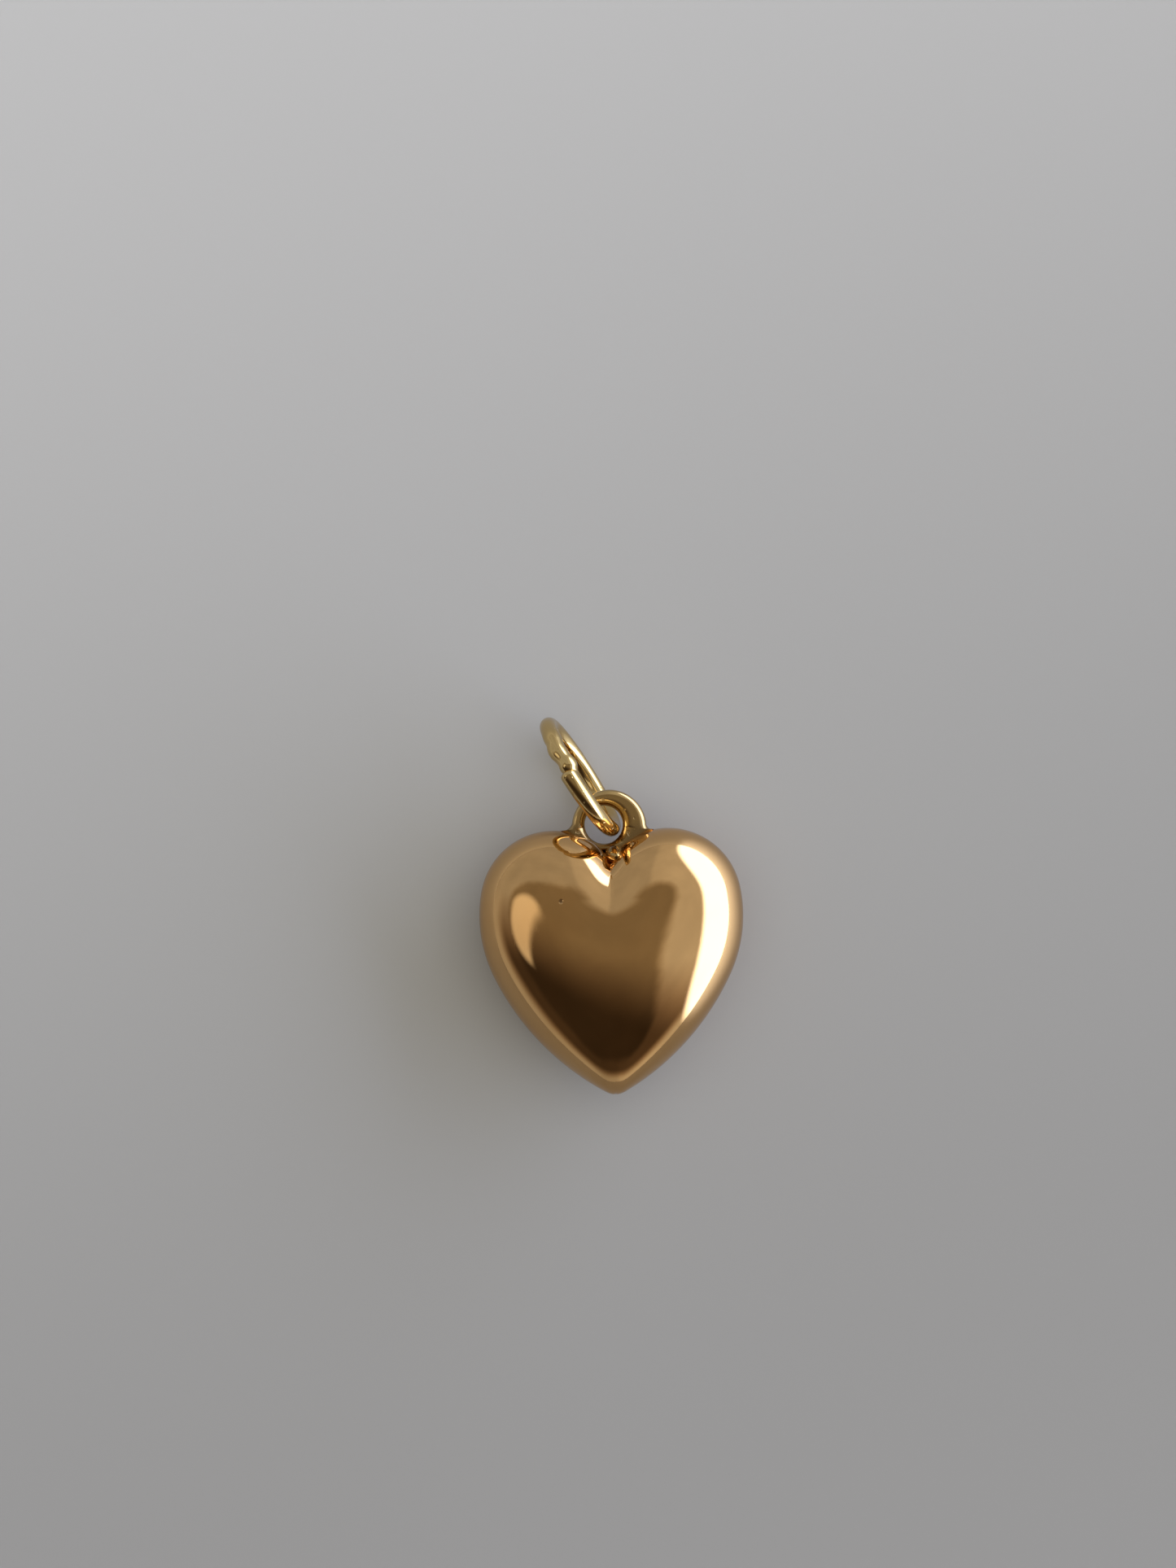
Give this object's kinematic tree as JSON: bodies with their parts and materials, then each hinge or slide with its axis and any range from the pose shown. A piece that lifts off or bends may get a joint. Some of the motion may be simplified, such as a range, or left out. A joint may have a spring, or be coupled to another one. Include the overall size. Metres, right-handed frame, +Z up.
{
  "type": "puffy heart pendant",
  "caption": "Puffed heart pendant struck in two hollow halves, with a soldered hanging eye in the notch and a round jump ring through it.",
  "frame": {"origin": "on the surface that the pendant lies on, under the middle of its box", "axes": "+Z up through the heart's front, +Y from the tip of the heart towards the hanging eye, +X to the right seen from the front"},
  "size_m": [0.0126, 0.018, 0.0065],
  "materials": {
    "rose_gold": "polished pale rose gold",
    "yellow_gold": "polished yellow gold",
    "gold_solder": "bright gold solder, as it flowed"
  },
  "bodies": {
    "pendant": {"front_shell": "rose_gold", "back_shell": "rose_gold", "hanging_eye": "yellow_gold", "eye_solder": "gold_solder"},
    "ring": {"jump_ring": "yellow_gold"}
  },
  "joints": [
    {"name": "ring_swing", "type": "hinge", "parent": "pendant", "child": "ring", "pos_m": [-0.00025, 0.00381, 0.00325], "axis": [0, 0, 1], "range_deg": [-120, 65]}
  ]
}
